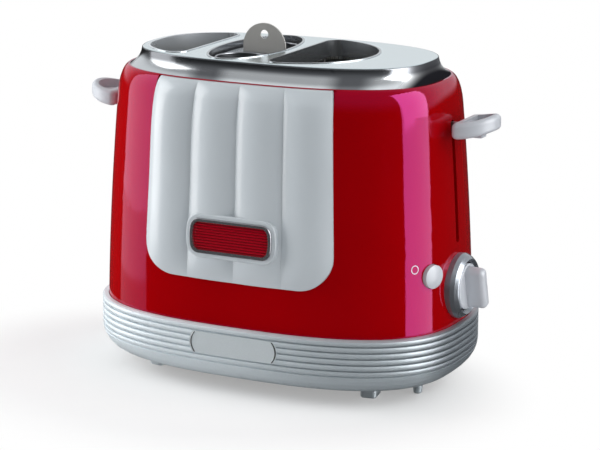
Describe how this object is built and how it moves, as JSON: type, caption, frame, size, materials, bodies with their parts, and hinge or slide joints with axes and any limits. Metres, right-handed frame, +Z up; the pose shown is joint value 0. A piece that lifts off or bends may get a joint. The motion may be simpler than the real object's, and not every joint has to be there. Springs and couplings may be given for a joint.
{
  "type": "hot dog toaster",
  "caption": "Upright oval toaster with a fluted front panel, bun slots, a lift-out sausage basket, end levers, a timer knob, a stop button and a rear crumb tray.",
  "frame": {"origin": "on the floor under the middle of the base", "axes": "+X along the oval towards the knob end, -Y towards the fluted front, +Z up"},
  "size_m": [0.328, 0.1843, 0.255],
  "materials": {
    "red_metal": "gloss",
    "pale_metal": "satin",
    "badge_chrome": "polished",
    "badge_red": "gloss",
    "deck_steel": "satin",
    "silver_plastic": "satin silver paint",
    "plate_silver": "satin",
    "black_plastic": "matte",
    "screw_steel": "satin",
    "foot_rubber": "matte",
    "sheet_steel": "galvanised",
    "heater_board": "mica",
    "ribbon_metal": "oxidised",
    "wire_steel": "bright",
    "spring_steel": "bright",
    "magnet_metal": "wound coil",
    "board_green": "matte",
    "timer_plastic": "matte",
    "ring_silver": "satin",
    "white_plastic": "gloss",
    "basket_steel": "satin",
    "shaft_steel": "turned"
  },
  "bodies": {
    "housing": {"body_shell": "red_metal", "front_panel": "pale_metal", "badge_frame": "badge_chrome", "badge_plate": "badge_red", "steel_cap": "deck_steel", "left_collar": "deck_steel", "basket_collar": "deck_steel", "right_collar": "deck_steel", "base_skirt": "silver_plastic", "name_plate": "plate_silver", "bottom_cover": "black_plastic", "cover_posts": "black_plastic", "base_screws": "screw_steel", "feet": "foot_rubber", "cord_posts": "black_plastic", "cord_gland": "black_plastic", "chassis_plate": "sheet_steel", "chamber_liner": "sheet_steel", "left_outer_heater": "heater_board", "left_inner_heater": "heater_board", "right_inner_heater": "heater_board", "right_outer_heater": "heater_board", "heating_ribbons": "ribbon_metal", "left_guard_hoops": "wire_steel", "left_guard_wires": "wire_steel", "right_guard_hoops": "wire_steel", "right_guard_wires": "wire_steel", "guide_rods": "shaft_steel", "rod_brackets": "sheet_steel", "lift_springs": "spring_steel", "holding_magnet": "magnet_metal", "control_board": "board_green", "timer_body": "timer_plastic", "stop_switch": "timer_plastic", "dial_ring": "ring_silver", "button_guide": "black_plastic"},
    "carriage": {"carriage_frame": "sheet_steel", "lever_arms": "sheet_steel", "left_bun_rack": "wire_steel", "right_bun_rack": "wire_steel", "basket_seat": "sheet_steel", "armature": "shaft_steel", "left_lever": "white_plastic", "right_lever": "white_plastic"},
    "basket": {"basket_plate": "basket_steel", "basket_tab": "basket_steel", "sausage_wells": "basket_steel"},
    "knob": {"timer_knob": "white_plastic", "timer_shaft": "shaft_steel"},
    "button": {"stop_button": "white_plastic"},
    "tray": {"crumb_tray": "silver_plastic"}
  },
  "joints": [
    {"name": "lift", "type": "slide", "parent": "housing", "child": "carriage", "axis": [0, 0, -1], "range_m": [0, 0.076], "stiffness_N_per_m": 60, "springref_m": -0.15, "deforming": ["lift_springs"]},
    {"name": "basket_lift", "type": "slide", "parent": "carriage", "child": "basket", "axis": [0, 0, 1], "range_m": [0, 0.13]},
    {"name": "timer_turn", "type": "hinge", "parent": "housing", "child": "knob", "pos_m": [0.14, 0, 0.078], "axis": [-1, 0, 0], "range_deg": [0, 270]},
    {"name": "stop_press", "type": "slide", "parent": "housing", "child": "button", "axis": [-0.9345, 0.3559, 0], "range_m": [0, 0.0025], "stiffness_N_per_m": 400, "springref_m": -0.002},
    {"name": "tray_slide", "type": "slide", "parent": "housing", "child": "tray", "axis": [0, 1, 0], "range_m": [0, 0.14]}
  ]
}
